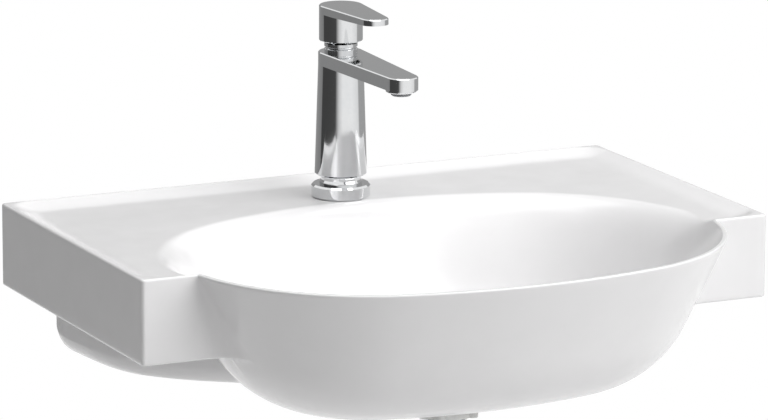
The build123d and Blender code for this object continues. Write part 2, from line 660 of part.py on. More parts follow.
def horseshoe(low, thickness):
    """A horseshoe round the stud, open to the front so that the hoses pass."""
    disc = rod(HORSESHOE_DIAMETER, low, low + thickness, 0, TAP_Y)
    passage = INLET_DIAMETER + 2 * LOOSE
    slot = INLET_SPACING + passage
    disc -= block((-slot / 2, TAP_Y - HORSESHOE_DIAMETER, low - 1), (slot / 2, TAP_Y, low + thickness + 1))
    for side in (-1, 1):
        disc -= rod(passage, low - 1, low + thickness + 1, side * INLET_SPACING / 2, TAP_Y)
    return disc - rod(STUD_DIAMETER + 2 * SLIP, low - 1, low + thickness + 1, 0, TAP_Y + STUD_SETBACK)


def stud_rubber():
    """The rubber horseshoe against the ceramic."""
    return horseshoe(DECK_UNDERSIDE - HORSESHOE_RUBBER, HORSESHOE_RUBBER)


def stud_plate():
    """The steel horseshoe under the rubber."""
    return horseshoe(DECK_UNDERSIDE - HORSESHOE_RUBBER - HORSESHOE_PLATE, HORSESHOE_PLATE)


def stud_nut():
    """The long brass nut on the stud."""
    high = DECK_UNDERSIDE - HORSESHOE_RUBBER - HORSESHOE_PLATE
    low = high - STUD_NUT_HEIGHT
    nut = hexagon(STUD_NUT_FLATS, low, high, 0, TAP_Y + STUD_SETBACK)
    return nut - rod(STUD_DIAMETER + 2 * RUNNING, low - 1, high + 1, 0, TAP_Y + STUD_SETBACK)


FLANGE_LOW = FLOOR + GASKET_THICKNESS
FLANGE_TOP = FLANGE_LOW + FLANGE_THICKNESS
TAIL_BOTTOM = BOWL_BOTTOM - TAIL_LENGTH
TAIL_BORE = TAIL_DIAMETER - 2 * TAIL_WALL
CLICK_TOP = FLANGE_TOP - PLUG_NECK_HEIGHT - CLICK_DROP
CAP_LOW = FLANGE_TOP + PLUG_CAP_GAP
GASKET_FOOT = BOWL_BOTTOM - LOWER_GASKET_HEIGHT
NUT_TOP = GASKET_FOOT - FRICTION_RING
NUT_LOW = NUT_TOP - BACK_NUT_HEIGHT


def waste_body():
    """Flange and threaded tail of the waste in one turned piece, with three spokes inside."""
    flange = FLANGE_DIAMETER / 2
    tail = TAIL_DIAMETER / 2
    bore = TAIL_BORE / 2
    relief = tail - TAIL_RELIEF
    relief_foot = NUT_LOW - TAIL_RELIEF_WIDTH
    lip = 2 * FLANGE_EDGE
    outline = [(bore, TAIL_BOTTOM), (tail, TAIL_BOTTOM), (tail, relief_foot), (relief, relief_foot),
               (relief, NUT_LOW), (tail, NUT_LOW), (tail, FLANGE_LOW), (flange - FLANGE_EDGE, FLANGE_LOW),
               (flange, FLANGE_LOW + FLANGE_EDGE), (flange - lip, FLANGE_TOP), (bore + lip, FLANGE_TOP),
               (bore, FLANGE_TOP - lip)]
    body = turned(outline, 0, DRAIN_Y)
    for place in PolarLocations(0, 3):
        spoke = block((0, -SPIDER_WIDTH / 2, CLICK_TOP - SPIDER_HEIGHT),
                      (bore + TAIL_WALL / 4, SPIDER_WIDTH / 2, CLICK_TOP))
        body += Pos(0, DRAIN_Y, 0) * place * spoke
    hub = rod(CLICK_DIAMETER + 2 * SPIDER_HUB_WALL, CLICK_TOP - SPIDER_HEIGHT, CLICK_TOP, 0, DRAIN_Y)
    return body + hub - rod(CLICK_DIAMETER, CLICK_TOP - SPIDER_HEIGHT - 1, CLICK_TOP + 1, 0, DRAIN_Y)


def flange_gasket():
    """The thin seal between the flange and the bowl's floor."""
    return tube(FLANGE_DIAMETER - 3, TAIL_DIAMETER + 2 * SLIP, FLOOR, FLANGE_LOW, 0, DRAIN_Y)


def click_cartridge():
    """The plastic body of the push-open catch, held in the spokes."""
    body = rod(CLICK_DIAMETER, CLICK_TOP - CLICK_HEIGHT, CLICK_TOP, 0, DRAIN_Y)
    body = chamfer(body.faces().sort_by(Axis.Z)[0].edges(), 2)
    bore_foot = CAP_LOW - PLUG_STEM_LENGTH - 1
    return body - rod(PLUG_STEM_DIAMETER + 2 * RUNNING, bore_foot, CLICK_TOP + 1, 0, DRAIN_Y)


def waste_plug():
    """The domed chrome cap with its neck."""
    radius = PLUG_CAP_DIAMETER / 2
    high = CAP_LOW + PLUG_CAP_THICKNESS
    edge = CAP_LOW + PLUG_CAP_EDGE
    dome = (radius**2 + (high - edge) ** 2) / (2 * (high - edge))
    half_turn = asin(radius / dome) / 2
    crown = ThreePointArc((radius, 0, edge), (dome * sin(half_turn), 0, high - dome * (1 - cos(half_turn))),
                          (0, 0, high))
    neck = PLUG_NECK_DIAMETER / 2
    low = CAP_LOW - PLUG_NECK_HEIGHT
    groove = low + PLUG_LAND
    outline = [(0, high), (0, low), (neck, low), (neck, groove), (neck - O_RING_SECTION, groove),
               (neck - O_RING_SECTION, groove + O_RING_SECTION), (neck, groove + O_RING_SECTION),
               (neck, CAP_LOW), (radius, CAP_LOW), (radius, edge)]
    section = make_face([Polyline(*[(r, 0, z) for r, z in outline]), crown])
    return Pos(0, DRAIN_Y, 0) * revolve(section, Axis.Z)


def plug_ring():
    """The rubber ring that seals the plug in the tail."""
    outside = PLUG_NECK_DIAMETER + 2 * O_RING_PROUD
    low = CAP_LOW - PLUG_NECK_HEIGHT + PLUG_LAND
    return tube(outside, PLUG_NECK_DIAMETER - 2 * O_RING_SECTION, low, low + O_RING_SECTION, 0, DRAIN_Y)


def plug_stem():
    """The rod under the plug that works the catch."""
    high = CAP_LOW - PLUG_NECK_HEIGHT
    stem = rod(PLUG_STEM_DIAMETER, CAP_LOW - PLUG_STEM_LENGTH, high, 0, DRAIN_Y)
    return chamfer(stem.faces().sort_by(Axis.Z)[0].edges(), 1)


def lower_gasket():
    """The tapered rubber under the bowl."""
    bore = TAIL_DIAMETER / 2 + SLIP
    radius = LOWER_GASKET_DIAMETER / 2
    outline = [(bore, GASKET_FOOT), (radius, GASKET_FOOT), (radius, GASKET_FOOT + LOWER_GASKET_LAND),
               (radius - LOWER_GASKET_TAPER, BOWL_BOTTOM), (bore, BOWL_BOTTOM)]
    return turned(outline, 0, DRAIN_Y)


def friction_ring():
    """The slippery plastic ring between rubber and nut."""
    return tube(LOWER_GASKET_DIAMETER, TAIL_DIAMETER + 2 * SLIP, NUT_TOP, GASKET_FOOT, 0, DRAIN_Y)


def back_nut():
    """The large nut on the tail, with six grip lugs."""
    nut = rod(BACK_NUT_DIAMETER, NUT_LOW, NUT_TOP, 0, DRAIN_Y)
    for place in PolarLocations(BACK_NUT_DIAMETER / 2, 6):
        point = place.position
        nut += rod(BACK_NUT_LUG, NUT_LOW, NUT_TOP, point.X, DRAIN_Y + point.Y)
    return nut - rod(TAIL_DIAMETER + 2 * RUNNING, NUT_LOW - 1, NUT_TOP + 1, 0, DRAIN_Y)


PIECES = {
    "basin_body": basin_body,
    "wall_bolts": lambda: both_bolts(wall_bolt),
    "wall_sleeves": lambda: both_bolts(wall_sleeve),
    "wall_washers": lambda: both_bolts(wall_washer),
    "wall_nuts": lambda: both_bolts(wall_nut),
    "tap_base_ring": tap_base_ring,
    "tap_base_seal": tap_base_seal,
    "tap_collar": tap_collar,
    "tap_body": tap_body,
    "aerator_housing": aerator_housing,
    "aerator_seal": aerator_seal,
    "aerator_nozzle": aerator_nozzle,
    "cartridge": cartridge,
    "gland_nut": gland_nut,
    "neck_cap": neck_cap,
    "cartridge_rotor": cartridge_rotor,
    "stem_pin": stem_pin,
    "cartridge_stem": cartridge_stem,
    "lever_handle": lever_handle,
    "grub_screw": grub_screw,
    "index_plug": index_plug,
    "tap_stud": tap_stud,
    "stud_rubber": stud_rubber,
    "stud_plate": stud_plate,
    "stud_nut": stud_nut,
    "waste_body": waste_body,
    "flange_gasket": flange_gasket,
    "click_cartridge": click_cartridge,
    "waste_plug": waste_plug,
    "plug_ring": plug_ring,
    "plug_stem": plug_stem,
    "lower_gasket": lower_gasket,
    "friction_ring": friction_ring,
    "back_nut": back_nut,
}

for name, make in PIECES.items():
    export_step(make(), f"parts/{name}.step")
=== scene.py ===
# %% [markdown]
# A wall-hung washbasin with its mixer and waste, dressed in Blender.
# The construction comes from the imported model. It is loaded first and stays exactly where it is.
# Only the ceramic is modelled once more, as smooth surfaces with softly rounded edges, because a glaze
# shows every facet and every hard edge.
# All the other pieces keep their own shape and get a finish worked out from noise.

# %% Load the frame
import json
import math

import bmesh
import bpy
import numpy as np
from mathutils import Matrix, Vector


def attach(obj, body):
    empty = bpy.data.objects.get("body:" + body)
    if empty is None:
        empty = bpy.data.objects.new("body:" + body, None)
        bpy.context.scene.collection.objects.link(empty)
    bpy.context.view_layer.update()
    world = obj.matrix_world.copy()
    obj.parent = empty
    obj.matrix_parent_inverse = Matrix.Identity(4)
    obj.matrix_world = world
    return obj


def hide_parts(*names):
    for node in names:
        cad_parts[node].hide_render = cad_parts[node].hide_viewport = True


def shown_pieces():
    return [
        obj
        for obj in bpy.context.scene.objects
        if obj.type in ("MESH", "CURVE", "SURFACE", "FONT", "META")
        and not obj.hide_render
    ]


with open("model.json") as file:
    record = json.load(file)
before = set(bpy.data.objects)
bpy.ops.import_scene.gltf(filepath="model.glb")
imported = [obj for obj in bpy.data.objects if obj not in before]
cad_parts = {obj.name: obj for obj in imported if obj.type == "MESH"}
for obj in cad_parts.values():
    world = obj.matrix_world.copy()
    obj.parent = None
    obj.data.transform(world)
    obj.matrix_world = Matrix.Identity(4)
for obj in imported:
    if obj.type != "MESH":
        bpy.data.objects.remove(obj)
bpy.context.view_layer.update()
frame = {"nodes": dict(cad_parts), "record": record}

# %% [markdown]
# The camera looks at the basin from the left, from a little above it and from far away.
# A long lens flattens the view, as in a catalogue picture.
# The place and the three angles were solved from the shelf's corners and the bowl's rim.
# The camera's own axes are right, up and backwards, so they are the three columns of its matrix.

# %% Camera
CAMERA_PLACE = (-1.945357, -4.275484, 1.116545)
CAMERA_YAW = 0.4420793
CAMERA_PITCH = 0.2232135
CAMERA_ROLL = 0.0028673
FOCAL_LENGTH_PIXELS = 5247.67
PICTURE_WIDTH_PIXELS = 768
SENSOR_WIDTH = 36.0


def camera_matrix():
    """Right, up and backwards as columns: yaw about Z, pitch downwards, then roll about the view line."""
    sin_yaw, cos_yaw = math.sin(CAMERA_YAW), math.cos(CAMERA_YAW)
    sin_pitch, cos_pitch = math.sin(CAMERA_PITCH), math.cos(CAMERA_PITCH)
    forward = np.array([sin_yaw * cos_pitch, cos_yaw * cos_pitch, -sin_pitch])
    level = np.array([cos_yaw, -sin_yaw, 0.0])
    upright = np.cross(level, forward)
    right = math.cos(CAMERA_ROLL) * level + math.sin(CAMERA_ROLL) * upright
    up = math.cos(CAMERA_ROLL) * upright - math.sin(CAMERA_ROLL) * level
    matrix = np.eye(4)
    matrix[:3, 0], matrix[:3, 1], matrix[:3, 2] = right, up, -forward
    matrix[:3, 3] = CAMERA_PLACE
    return Matrix(matrix.tolist())


lens = bpy.data.cameras.new("camera")
lens.sensor_width = SENSOR_WIDTH
lens.lens = FOCAL_LENGTH_PIXELS / PICTURE_WIDTH_PIXELS * SENSOR_WIDTH
camera = bpy.data.objects.new("camera", lens)
camera.matrix_world = camera_matrix()
bpy.context.scene.collection.objects.link(camera)
bpy.context.scene.camera = camera
print("Camera with a lens of", round(lens.lens), "mm")

# %% [markdown]
# A few small helpers make every new piece: a grid of faces, a welded mesh, and cutters for holes.
# The sizes below are in millimetres, as on a maker's drawing, and the mesh maker turns them to metres.
# Points that fall together are welded, so that seams and poles are closed, and then the faces are
# turned outwards.
# Shading is smooth, except across edges that turn by more than a set angle.

# %% Mesh helpers
MM = 0.001
WELD = 2e-6
SHARP_TURN = math.radians(38)


def grid_faces(rows, columns, wrap_rows=False, wrap_columns=False):
    """Corner numbers of the cells of a grid of points, with the last row or column joined to the first."""
    r, c = np.meshgrid(np.arange(rows if wrap_rows else rows - 1),
                       np.arange(columns if wrap_columns else columns - 1), indexing="ij")
    r2, c2 = (r + 1) % rows, (c + 1) % columns
    return np.stack([r * columns + c, r * columns + c2, r2 * columns + c2, r2 * columns + c], axis=-1)


def ring_faces(count, closed=False):
    """Corner numbers of the band between two rings of points, and of its two ends if it is closed."""
    faces = grid_faces(2, count, wrap_columns=True).reshape(-1, 4).tolist()
    return faces + [list(range(count)), list(range(count, 2 * count))] if closed else faces


def make_piece(name, points, faces, body, slot):
    """A welded, smooth mesh object from points in millimetres and lists of corner numbers."""
    mesh = bpy.data.meshes.new(name)
    mesh.from_pydata((np.asarray(points) * MM).tolist(), [], [list(face) for face in faces])
    weld(mesh)
    piece = bpy.data.objects.new(name, mesh)
    bpy.context.scene.collection.objects.link(piece)
    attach(piece, body)
    print(name, "has", len(mesh.polygons), "faces")
    return piece


def weld(mesh):
    """Joins points that coincide, drops faces without area and turns the rest outwards."""
    work = bmesh.new()
    work.from_mesh(mesh)
    bmesh.ops.remove_doubles(work, verts=work.verts, dist=WELD)
    bmesh.ops.recalc_face_normals(work, faces=work.faces)
    work.to_mesh(mesh)
    work.free()
    mesh.shade_smooth()
    mesh.set_sharp_from_angle(angle=SHARP_TURN)


def cut(piece, cutter):
    """Takes the cutter's volume out of the piece for good, and removes the cutter."""
    modifier = piece.modifiers.new("cut", "BOOLEAN")
    modifier.operation = "DIFFERENCE"
    modifier.solver = "EXACT"
    modifier.object = cutter
    result = bpy.data.meshes.new_from_object(piece.evaluated_get(bpy.context.evaluated_depsgraph_get()))
    piece.modifiers.clear()
    piece.data = result
    bpy.data.objects.remove(cutter)
    result.shade_smooth()
    result.set_sharp_from_angle(angle=SHARP_TURN)


def loose_solid(points, faces):
    """A plain closed mesh for cutting with: it is removed after use."""
    mesh = bpy.data.meshes.new("cutter")
    mesh.from_pydata((np.asarray(points) * MM).tolist(), [], [list(face) for face in faces])
    weld(mesh)
    solid = bpy.data.objects.new("cutter", mesh)
    bpy.context.scene.collection.objects.link(solid)
    return solid


def cutting_box(low, high):
    """A box between two corners."""
    corners = [[x, y, z] for x in (low[0], high[0]) for y in (low[1], high[1]) for z in (low[2], high[2])]
    faces = [(0, 1, 3, 2), (4, 6, 7, 5), (0, 4, 5, 1), (2, 3, 7, 6), (0, 2, 6, 4), (1, 5, 7, 3)]
    return loose_solid(corners, faces)


def cutting_rod(radius, start, end, sides=72):
    """A round bar from one point to another, along Y or Z."""
    turn = np.arange(sides) * 2 * np.pi / sides
    start, end = np.array(start, float), np.array(end, float)
    along_y = abs(end[1] - start[1]) > abs(end[2] - start[2])
    across = np.array([[0, 0, 1]]) if along_y else np.array([[0, 1, 0]])
    ring = radius * (np.cos(turn)[:, None] * np.array([[1, 0, 0]]) + np.sin(turn)[:, None] * across)
    return loose_solid(np.vstack([start + ring, end + ring]), ring_faces(sides, closed=True))


print("Points closer than", round(WELD / MM, 4), "mm are welded, and edges that turn by over",
      round(math.degrees(SHARP_TURN)), "degrees stay sharp")

# %% [markdown]
# The plan of the bowl is an oval of three tangent arcs on each side: a wide one in front, a tight one at
# the end and a flatter one at the back.
# Every point of such an oval has its own outward direction, so that direction serves as the place along it.
# Drawing the oval in by an inset only shortens the radii, which gives all the rings of the bowl for free.

# %% The oval
TOP = 85.0
SHELF_HALF_WIDTH = 300.0
SHELF_DEPTH = 325.0
END_OFFSET = 77.0
END_RADIUS = 175.0
FRONT_RADIUS = 500.0
BACK_EDGE = -106.0
BACK_SAG = 14.75
END_Y = BACK_EDGE - BACK_SAG - END_RADIUS
FRONT_Y = END_Y + math.sqrt((FRONT_RADIUS - END_RADIUS) ** 2 - END_OFFSET**2)
BACK_RADIUS = (END_OFFSET**2 + (END_RADIUS + BACK_SAG) ** 2 - END_RADIUS**2) / (2 * BACK_SAG)
BACK_Y = BACK_EDGE - BACK_RADIUS
FRONT_JOINT = math.atan2(END_Y - FRONT_Y, END_OFFSET)
BACK_JOINT = math.atan2(END_Y - BACK_Y, END_OFFSET)


def oval_arc(direction):
    """Centre x, centre y and radius of the arc that holds the point with that outward direction."""
    front, end = direction <= FRONT_JOINT, direction < BACK_JOINT
    x = np.where(front | ~end, 0.0, END_OFFSET)
    y = np.where(front, FRONT_Y, np.where(end, END_Y, BACK_Y))
    radius = np.where(front, FRONT_RADIUS, np.where(end, END_RADIUS, BACK_RADIUS))
    return x, y, radius


def oval(direction, inset):
    """Point of the oval: the arc's centre plus (radius minus inset) along the direction."""
    x, y, radius = oval_arc(direction)
    return x + (radius - inset) * np.cos(direction), y + (radius - inset) * np.sin(direction)


def oval_inset(x, y):
    """How far a point lies inside the oval: the arc's radius minus the distance to its centre."""
    x = np.abs(x)
    front = x * (FRONT_Y - END_Y) < END_OFFSET * (FRONT_Y - y)
    back = x * (END_Y - BACK_Y) < END_OFFSET * (y - BACK_Y)
    inside_front = FRONT_RADIUS - np.hypot(x, y - FRONT_Y)
    inside_end = END_RADIUS - np.hypot(x - END_OFFSET, y - END_Y)
    inside_back = BACK_RADIUS - np.hypot(x, y - BACK_Y)
    both = np.minimum(inside_front, inside_back)
    single = np.where(front, inside_front, np.where(back, inside_back, inside_end))
    return np.where(front & back, both, single)


print("The oval is", round(2 * (END_OFFSET + END_RADIUS)), "mm wide and ends at y =",
      round(FRONT_Y - FRONT_RADIUS))

# %% [markdown]
# The wall of the bowl leans inwards on a straight line and then sweeps into the floor on a large arc.
# The same profile, with other numbers, gives the inside and the outside.
# The deck of the shelf is dished: it rises along the edges on a parabola to a narrow land.
# A smooth minimum joins deck and bowl. It takes the lower of two heights and rounds the crossing over a
# chosen width, so the lip is wide behind the bowl and fades to a crisp rim in front of the shelf.

# %% Heights of the ceramic
WALL_LEAN_INSIDE = 0.485
WALL_LEAN_OUTSIDE = 0.461
RIM_THICKNESS = 5.0
RIM_ROUND = 1.5
DEPTH_INSIDE = 126.5
DEPTH_OUTSIDE = 137.5
SWEEP_INSIDE = 98.0
SWEEP_OUTSIDE = 102.0
DECK_DROP = 6.0
UPSTAND_REACH = 28.0
UPSTAND_RUN = 24.5
LIP_NARROW = 7.0
LIP_WIDE = 32.0
LIP_FADE = 70.0
TOP_ROUND = 1.2


def sweep(lean, rim, depth, radius):
    """Slope angle and inset of the arc's centre for a wall that starts at the rim inset."""
    slope = math.atan(lean)
    return slope, rim + lean * depth + radius * math.tan((math.pi / 2 - slope) / 2)


SLOPE_INSIDE, CENTRE_INSIDE = sweep(WALL_LEAN_INSIDE, RIM_THICKNESS, DEPTH_INSIDE, SWEEP_INSIDE)
SLOPE_OUTSIDE, CENTRE_OUTSIDE = sweep(WALL_LEAN_OUTSIDE, 0.0, DEPTH_OUTSIDE, SWEEP_OUTSIDE)


def wall_drop(inset, lean, rim, depth, radius, slope, centre):
    """Depth below the top: a straight lean, then depth - radius + sqrt(radius^2 - run^2), then the floor."""
    run = np.clip(centre - inset, 0.0, radius)
    arc = depth - radius + np.sqrt(radius**2 - run**2)
    return np.where(inset < centre - radius * math.cos(slope), (inset - rim) / lean, arc)


def bowl_inside(inset):
    """Height of the bowl's inner surface over an inset."""
    return TOP - wall_drop(inset, WALL_LEAN_INSIDE, RIM_THICKNESS, DEPTH_INSIDE, SWEEP_INSIDE,
                           SLOPE_INSIDE, CENTRE_INSIDE)


def bowl_outside(inset):
    """Height of the bowl's outer surface over an inset."""
    return TOP - wall_drop(inset, WALL_LEAN_OUTSIDE, 0.0, DEPTH_OUTSIDE, SWEEP_OUTSIDE,
                           SLOPE_OUTSIDE, CENTRE_OUTSIDE)


def smooth_minimum(a, b, width):
    """The lower of two heights, less width/4 times the square of (1 - distance/width) near a crossing."""
    near = np.clip(width - np.abs(a - b), 0.0, None) / width
    return np.minimum(a, b) - near**2 * width / 4


def top_height(x, y, inset):
    """Height of the top skin: deck and bowl joined by the soft lip, then held under the flat rim."""
    deck = np.full_like(x, -DECK_DROP)
    for edge in (SHELF_HALF_WIDTH - np.abs(x), -y, y + SHELF_DEPTH):
        deck = deck + DECK_DROP * (np.clip(UPSTAND_REACH - edge, 0.0, None) / UPSTAND_RUN) ** 2
    fade = np.clip((y + SHELF_DEPTH) / LIP_FADE, 0.0, 1.0)
    width = LIP_NARROW + (LIP_WIDE - LIP_NARROW) * fade**2 * (3 - 2 * fade)
    skin = smooth_minimum(bowl_inside(inset) - TOP, deck, width)
    return TOP + smooth_minimum(skin, np.zeros_like(skin), TOP_ROUND)


print("The lip rolls over by", LIP_WIDE / 4, "mm below the deck at the back of the bowl")

# %% [markdown]
# The whole casting is one grid, closed like a ring: each column starts at the drain, runs up inside the
# bowl, over the lip and the deck, round the edge, under the shelf and back along the outside to the drain.
# In front of the shelf the columns have no shelf to cross, so those rows fall together and are welded.
# Where the bowl leaves the shelf's front face, the columns are pinned to that line, so the corner is exact.
# A patchwork of separate surfaces would be simpler to write, but its seams would show in the glaze.

# %% Columns of the ceramic
EDGE_ROUND = 2.0
CORNER_ROUND = 3.5
SHELF_FOOT = 10.0
CEILING = 65.0
SHELL_WALL = 9.0
BACK_WALL = 14.0
RIM_ARC_INSET = RIM_ROUND * (math.hypot(1.0, WALL_LEAN_OUTSIDE) + WALL_LEAN_OUTSIDE)
JUNCTION_REACH = SHELF_DEPTH + END_Y
FRONT_COLUMNS = 96
CROWDING = 0.9
CORNER_STEPS = 8


def junction_direction(inset, edge):
    """Direction on the oval where it meets the line that lies an edge distance behind the shelf's front."""
    return -np.arcsin((JUNCTION_REACH - edge) / (END_RADIUS - inset))


def junction_x(inset, edge):
    """Where the oval at an inset crosses the line that lies an edge distance behind the shelf's front."""
    return END_OFFSET + np.sqrt((END_RADIUS - inset) ** 2 - (JUNCTION_REACH - edge) ** 2)


def eased(count, both=True):
    """Steps from 0 to 1 that are finer at both ends, or only at the first."""
    if both:
        return (1 - np.cos(np.linspace(0, np.pi, count))) / 2
    return 1 - np.cos(np.linspace(0, np.pi / 2, count))


JUNCTION = float(junction_direction(RIM_ARC_INSET, EDGE_ROUND))
FRONT_ARC = FRONT_RADIUS * (FRONT_JOINT + math.pi / 2)
ALONG = np.linspace(0, 1, FRONT_COLUMNS) ** CROWDING * (FRONT_ARC + END_RADIUS * (JUNCTION - FRONT_JOINT))
FRONT_DIRECTIONS = np.where(ALONG < FRONT_ARC, -np.pi / 2 + ALONG / FRONT_RADIUS,
                            FRONT_JOINT + (ALONG - FRONT_ARC) / END_RADIUS)


def front_directions(junction):
    """The columns in front of the shelf, with the last one moved to the given direction."""
    share = (junction - FRONT_JOINT) / (JUNCTION - FRONT_JOINT)
    moved = FRONT_JOINT + (FRONT_DIRECTIONS - FRONT_JOINT) * share
    return np.where(FRONT_DIRECTIONS > FRONT_JOINT, moved, FRONT_DIRECTIONS)


STRETCH_FRONT = np.linspace(1, 0, 22)
CORNER_FRONT = np.linspace(-np.pi / 2, 0, CORNER_STEPS)[1:-1]
STRETCH_SIDE = eased(60)
CORNER_BACK = np.linspace(0, np.pi / 2, CORNER_STEPS)[1:-1]
STRETCH_BACK = eased(52, both=False)


def shelf_contour(front, side, back, crossing):
    """The shelf's outline drawn in by three insets: front edge from the bowl, corner, side, corner, back."""
    corner = max(CORNER_ROUND, side + EDGE_ROUND)
    corner_back = max(CORNER_ROUND, back + EDGE_ROUND)
    centre_x = SHELF_HALF_WIDTH - corner
    near, far = corner - SHELF_DEPTH, -corner_back
    x = [centre_x - STRETCH_FRONT * (centre_x - crossing),
         centre_x + (corner - side) * np.cos(CORNER_FRONT),
         np.full_like(STRETCH_SIDE, SHELF_HALF_WIDTH - side),
         centre_x + (corner - side) * np.cos(CORNER_BACK),
         centre_x * (1 - STRETCH_BACK)]
    y = [np.full_like(STRETCH_FRONT, front - SHELF_DEPTH),
         near + (corner - front) * np.sin(CORNER_FRONT),
         near + (far - near) * STRETCH_SIDE,
         far + (corner_back - back) * np.sin(CORNER_BACK),
         np.full_like(STRETCH_BACK, -back)]
    return np.concatenate(x), np.concatenate(y)


def direction_of(x, y):
    """Outward direction of the oval's ray through a point outside it."""
    end = np.arctan2(y - END_Y, x - END_OFFSET)
    return np.where(end < BACK_JOINT, end, np.arctan2(y - BACK_Y, x))


EDGE_X, EDGE_Y = shelf_contour(EDGE_ROUND, EDGE_ROUND, EDGE_ROUND, junction_x(RIM_ARC_INSET, EDGE_ROUND))
SHELF_DIRECTIONS = direction_of(EDGE_X, EDGE_Y)


def shelf_directions(junction):
    """The columns behind the shelf's front, with the first one moved to the given direction."""
    share = (np.pi / 2 - SHELF_DIRECTIONS) / (np.pi / 2 - JUNCTION)
    return SHELF_DIRECTIONS + (junction - JUNCTION) * share


print("Half the grid has", FRONT_COLUMNS, "columns in front and", len(SHELF_DIRECTIONS), "across the shelf")

# %% [markdown]
# The rows are stacked from the drain to the drain again.
# Each row is the same for all columns in what it means, such as one height of the outside, and each function
# below returns a few rows.
# Rows lie closer together where the surface bends more, so the highlights stay calm.
# The inner corner between bowl and shelf is filled with a soft fillet, as slip casting leaves it. It is
# nothing at the top, widens towards the shelf's foot and fades out below it.

# %% Rows of the ceramic
DRAIN_Y = END_Y + 7.75
DRAIN_RADIUS = 23.0
INNER_START = 8.0
DECK_ROWS = 52
SWEEP_ROWS = 22
WALL_ROWS = 13
FACE_ROWS = 20
UNDER_ROWS = 9
FILLET_REACH = 24.0
FILLET_LEAST = 0.01
FILLET_GROWTH = 0.7
FILLET_FADE = 30.0
ALL_DIRECTIONS = np.concatenate([FRONT_DIRECTIONS, SHELF_DIRECTIONS])


def row(x, y, z):
    """One row of points, with a height that may be one number."""
    return np.stack([x, y, np.broadcast_to(z, np.shape(x))], axis=-1)


def floor_rows(inset, height, count):
    """Rows on a flat floor, from the drain's circle to the oval at an inset."""
    x, y = oval(ALL_DIRECTIONS, inset)
    turn = np.arctan2(y - DRAIN_Y, x)
    ring_x, ring_y = DRAIN_RADIUS * np.cos(turn), DRAIN_Y + DRAIN_RADIUS * np.sin(turn)
    shares = np.linspace(0, 1, count)
    return [row(ring_x + (x - ring_x) * s, ring_y + (y - ring_y) * s, height) for s in shares]


def inside_rows():
    """Rows up the inside: the sweep in equal turns, then the leaning wall."""
    turns = np.linspace(np.pi / 2, SLOPE_INSIDE, SWEEP_ROWS)[1:]
    wall_start = CENTRE_INSIDE - SWEEP_INSIDE * math.cos(SLOPE_INSIDE)
    insets = np.concatenate([CENTRE_INSIDE - SWEEP_INSIDE * np.cos(turns),
                             np.linspace(wall_start, INNER_START, WALL_ROWS)[1:]])
    rows = []
    for inset in insets:
        x, y = oval(ALL_DIRECTIONS, inset)
        rows.append(row(x, y, top_height(x, y, np.full_like(x, inset))))
    return rows


def deck_rows():
    """Rows along the oval's rays, from just inside the bowl to where the outer edge starts to round."""
    arc_x, arc_y, radius = oval_arc(SHELF_DIRECTIONS)
    shelf_end = radius - np.hypot(EDGE_X - arc_x, EDGE_Y - arc_y)
    end = np.concatenate([np.full(FRONT_COLUMNS, RIM_ARC_INSET), shelf_end])
    rows = []
    for share in eased(DECK_ROWS)[1:]:
        inset = INNER_START + (end - INNER_START) * share
        x, y = oval(ALL_DIRECTIONS, inset)
        rows.append(row(x, y, top_height(x, y, inset)))
    return rows


def rim_outside(height):
    """Inset of the bowl's outside at a height, with its rounded rim."""
    centre = TOP - RIM_ROUND
    arc = RIM_ARC_INSET - np.sqrt(np.clip(RIM_ROUND**2 - (height - centre) ** 2, 0, None))
    slope_end = centre - RIM_ROUND * math.sin(SLOPE_OUTSIDE)
    run = np.clip(height - TOP + DEPTH_OUTSIDE - SWEEP_OUTSIDE, -SWEEP_OUTSIDE, 0)
    swept = CENTRE_OUTSIDE - np.sqrt(SWEEP_OUTSIDE**2 - run**2)
    straight_end = TOP - (CENTRE_OUTSIDE - SWEEP_OUTSIDE * math.cos(SLOPE_OUTSIDE)) / WALL_LEAN_OUTSIDE
    straight = WALL_LEAN_OUTSIDE * (TOP - height)
    return np.where(height > slope_end, arc, np.where(height > straight_end, straight, swept))


def fillet(run, junction, height):
    """Shift at a distance from the inner corner: (reach - run)^2 / (4 reach), along both of its sides."""
    reach = FILLET_REACH * ((TOP - height) / (TOP - SHELF_FOOT)) ** FILLET_GROWTH + FILLET_LEAST
    size = np.clip(reach - run, 0, None) ** 2 / (4 * reach)
    return size * (1 + np.sin(junction)), -size * np.cos(junction)


def side_row(height, edge):
    """A row on the outside: the bowl in front, the shelf's face behind, and a fillet between the two."""
    inset = rim_outside(height)
    junction = junction_direction(inset, edge)
    directions = front_directions(junction)
    front_x, front_y = oval(directions, inset)
    shelf_x, shelf_y = shelf_contour(edge, edge, edge, junction_x(inset, edge))
    along_shelf = shelf_x - shelf_x[0] + shelf_y - shelf_y[0]
    run = np.concatenate([(END_RADIUS - inset) * (junction - directions), along_shelf])
    shift_x, shift_y = fillet(run, junction, height)
    x, y = np.concatenate([front_x, shelf_x]), np.concatenate([front_y, shelf_y])
    return row(x + shift_x, y + shift_y, height)


def side_rows():
    """Rows round the top edge on a quarter circle, down the face, and round the lower edge."""
    turns = np.linspace(0, np.pi / 2, CORNER_STEPS)[1:]
    rows = [side_row(TOP - EDGE_ROUND * (1 - math.cos(t)), EDGE_ROUND * (1 - math.sin(t))) for t in turns]
    rows += [side_row(z, 0.0) for z in np.linspace(TOP - EDGE_ROUND, SHELF_FOOT + EDGE_ROUND, FACE_ROWS)[1:]]
    turns = np.linspace(0, np.pi / 2, 6)[1:]
    return rows + [side_row(SHELF_FOOT + EDGE_ROUND * (1 - math.sin(t)), EDGE_ROUND * (1 - math.cos(t)))
                   for t in turns]


